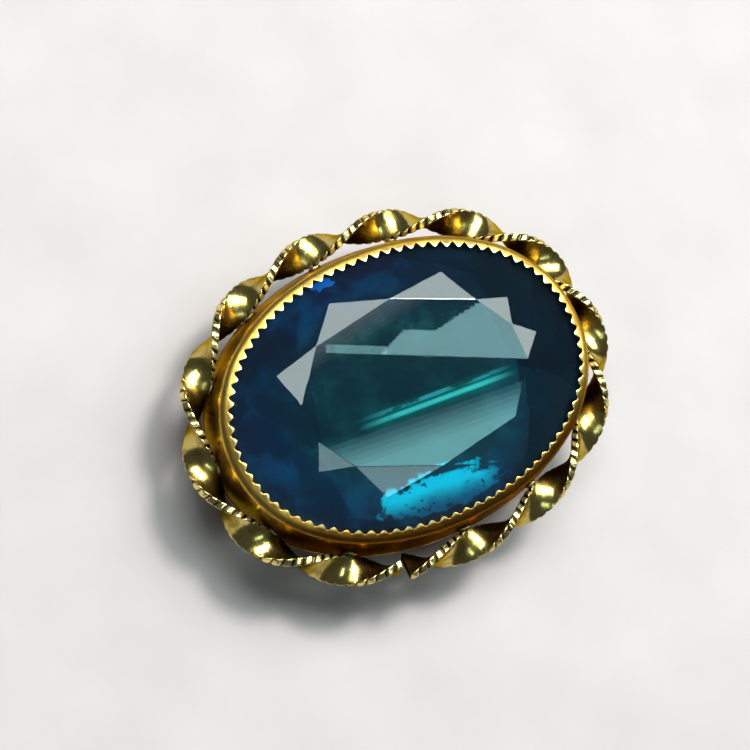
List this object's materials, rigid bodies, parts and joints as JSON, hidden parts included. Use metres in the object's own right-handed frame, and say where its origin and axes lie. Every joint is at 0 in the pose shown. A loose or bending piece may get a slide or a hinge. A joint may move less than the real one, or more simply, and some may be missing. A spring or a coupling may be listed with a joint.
{
  "type": "oval brooch",
  "caption": "Oval costume brooch: faceted blue glass stone in a saw-toothed gilt collet, framed by twisted ribbon wire, with hinged pin and roll-over catch.",
  "frame": {"origin": "middle of the oval, level with the bottom of the catch rings' full circle on the back", "axes": "+X along the oval towards the catch, +Y across it towards the pin's side, +Z out of the stone's face"},
  "size_m": [0.0217, 0.017, 0.006],
  "materials": {
    "blue_glass": "clear deep blue-teal paste, polished facets",
    "foil": "thin reflective foil, flaked in places",
    "gilt_brass": "worn gilding over brass, brown in the recesses",
    "ribbon_brass": "polished olive-gold wire with milled edges",
    "back_brass": "tarnished gilt brass with rubbed high spots",
    "solder": "dull grey-gold solder",
    "pin_metal": "hard-drawn brass wire with thin plating"
  },
  "bodies": {
    "setting": {"faceted_stone": "blue_glass", "foil_backing": "foil", "bezel_collet": "gilt_brass", "bearing_ring": "gilt_brass", "back_plate": "back_brass", "twisted_ribbon": "ribbon_brass", "solder_joints": "solder", "hinge_bracket": "back_brass", "hinge_rivet": "pin_metal", "catch_base": "back_brass"},
    "pin": {"pin_stem": "pin_metal"},
    "rotor": {"catch_rotor": "gilt_brass"}
  },
  "joints": [
    {"name": "pin_hinge", "type": "hinge", "parent": "setting", "child": "pin", "pos_m": [-0.0074, 0.0015, 0.0011], "axis": [0, 1, 0], "range_deg": [0, 110]},
    {"name": "catch_turn", "type": "hinge", "parent": "setting", "child": "rotor", "pos_m": [0.0064, 0.0015, 0.0011], "axis": [1, 0, 0], "range_deg": [0, 110]}
  ]
}
